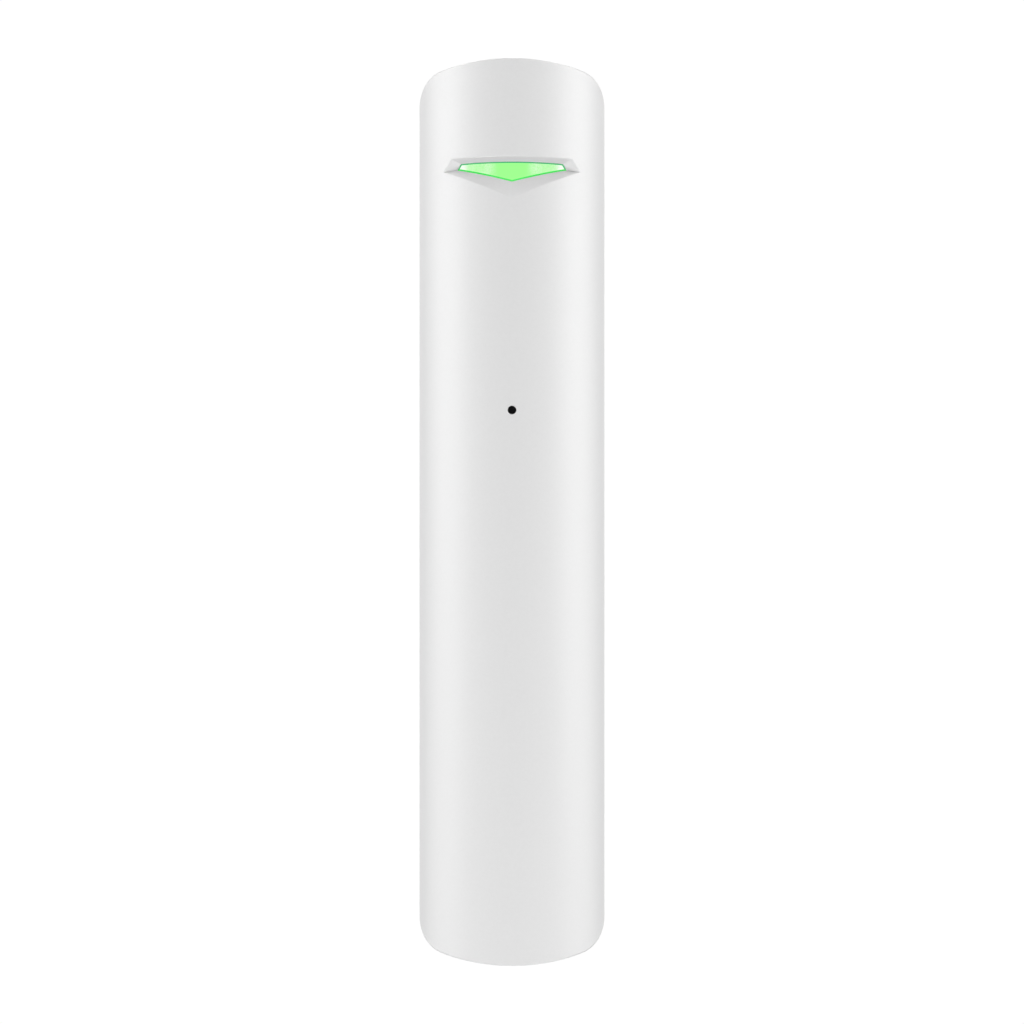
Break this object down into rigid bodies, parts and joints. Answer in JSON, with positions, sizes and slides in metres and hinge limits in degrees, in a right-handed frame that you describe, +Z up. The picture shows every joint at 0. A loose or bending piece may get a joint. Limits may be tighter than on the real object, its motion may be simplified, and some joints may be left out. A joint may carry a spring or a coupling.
{
  "type": "glass break sensor",
  "caption": "Slim half-round wall detector with domed ends, a gem-cut status light, a pinhole sound port, battery, circuit board, tamper button and a slide-on bracket.",
  "frame": {"origin": "on the wall face of the mounting bracket, on the centre line, at mid-height of the mounted detector", "axes": "+Z up, +Y into the wall, so the front of the detector faces -Y, and +X to the right as seen from the front"},
  "size_m": [0.0196, 0.021, 0.0922],
  "materials": {
    "housing_white": "white moulded plastic with a fine matte texture",
    "cover_white": "white moulded plastic, satin",
    "guide_green": "clear light guide, lit green",
    "board_green": "glass fibre board with solder resist",
    "can_metal": "tinned steel",
    "screw_steel": "zinc plated steel",
    "contact_metal": "plated spring bronze",
    "rubber_grey": "soft moulded rubber",
    "mesh_black": "woven sound mesh",
    "chip_black": "moulded epoxy",
    "switch_grey": "moulded nylon",
    "led_body": "white body with a clear cap",
    "cell_sleeve": "plain shrink sleeve over a steel can",
    "terminal_green": "moulded nylon"
  },
  "bodies": {
    "bracket": {"mounting_bracket": "cover_white"},
    "detector": {"front_housing": "housing_white", "light_guide": "guide_green", "rear_cover": "cover_white", "main_board": "board_green", "microphone": "can_metal", "microphone_boot": "rubber_grey", "microphone_mesh": "mesh_black", "led_left": "led_body", "led_right": "led_body", "microcontroller": "chip_black", "amplifier_chip": "chip_black", "crystal": "can_metal", "board_capacitors": "can_metal", "radio_shield": "can_metal", "antenna": "contact_metal", "battery": "cell_sleeve", "battery_contact_positive": "contact_metal", "battery_contact_negative": "contact_metal", "battery_return_strip": "contact_metal", "tamper_switch": "switch_grey", "power_switch": "switch_grey", "terminal_block": "terminal_green", "terminal_screws": "screw_steel", "cover_screw": "screw_steel", "board_screws": "screw_steel"},
    "tamper_plunger": {"tamper_button": "cover_white"},
    "power_plunger": {"power_button": "cover_white"}
  },
  "joints": [
    {"name": "lift_off", "type": "slide", "parent": "bracket", "child": "detector", "axis": [0, 0, 1], "range_m": [0, 0.0035]},
    {"name": "tamper_press", "type": "slide", "parent": "detector", "child": "tamper_plunger", "axis": [0, -1, 0], "range_m": [0, 0.0006], "stiffness_N_per_m": 500, "springref_m": -0.001},
    {"name": "power_press", "type": "slide", "parent": "detector", "child": "power_plunger", "axis": [0, -1, 0], "range_m": [0, 0.0005], "stiffness_N_per_m": 800, "springref_m": -0.0005}
  ]
}
